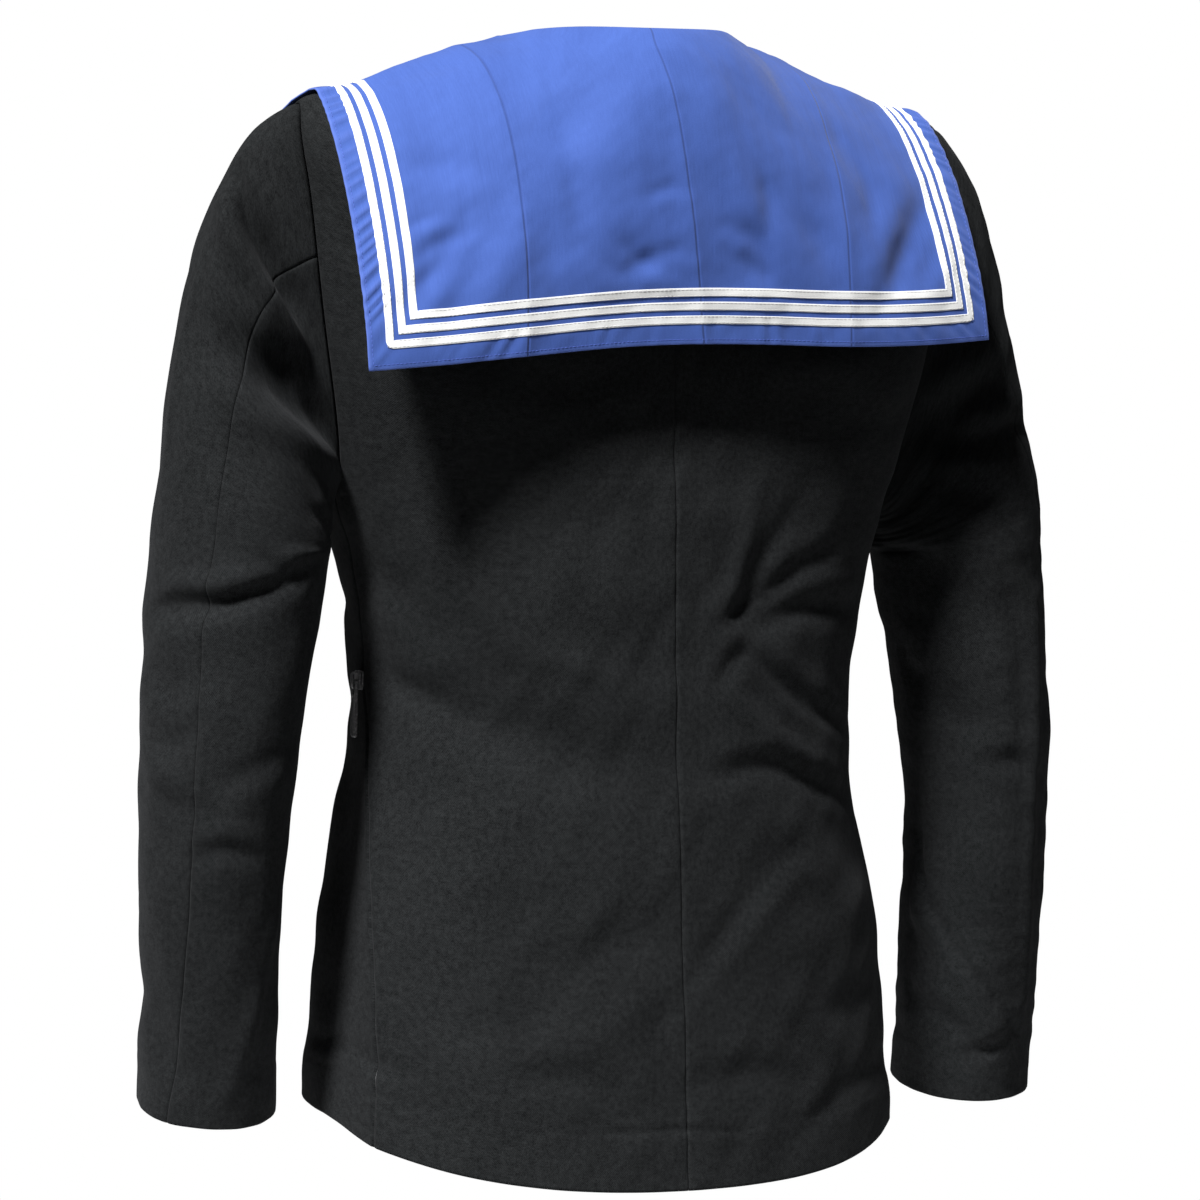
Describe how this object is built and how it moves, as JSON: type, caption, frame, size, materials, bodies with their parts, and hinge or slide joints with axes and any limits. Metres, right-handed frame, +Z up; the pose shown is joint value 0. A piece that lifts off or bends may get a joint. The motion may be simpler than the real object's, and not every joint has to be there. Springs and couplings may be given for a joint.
{
  "type": "sailor jumper",
  "caption": "Hollow long-sleeved naval pullover with a V neck, a broad square collar edged with white tapes and a zip in the left side seam.",
  "frame": {"origin": "midway between the two neck ends of the shoulder seams, at their height, where the wearer's shoulders carry the jumper", "axes": "+Z up; -Y the way the wearer faces, so the back and the collar's flap are at +Y; +X the wearer's left"},
  "size_m": [0.58, 0.253, 0.6605],
  "materials": {
    "serge": "brushed wool serge, matt",
    "blue_jean": "cotton drill, matt",
    "white_tape": "woven cotton tape, matt",
    "zip_metal": "dark enamel, satin"
  },
  "bodies": {
    "garment": {"back_left": "serge", "back_right": "serge", "front": "serge", "sleeve_top_left": "serge", "sleeve_under_left": "serge", "sleeve_top_right": "serge", "sleeve_under_right": "serge", "collar": "blue_jean", "tape_outer": "white_tape", "tape_middle": "white_tape", "tape_inner": "white_tape", "zip_slider": "zip_metal"},
    "zip_pull": {"zip_pull": "zip_metal"}
  },
  "joints": [
    {"name": "pull_swing", "type": "hinge", "parent": "garment", "child": "zip_pull", "pos_m": [0.15532, 0.00116, -0.36929], "axis": [0, -1, 0], "range_deg": [0, 150]}
  ]
}
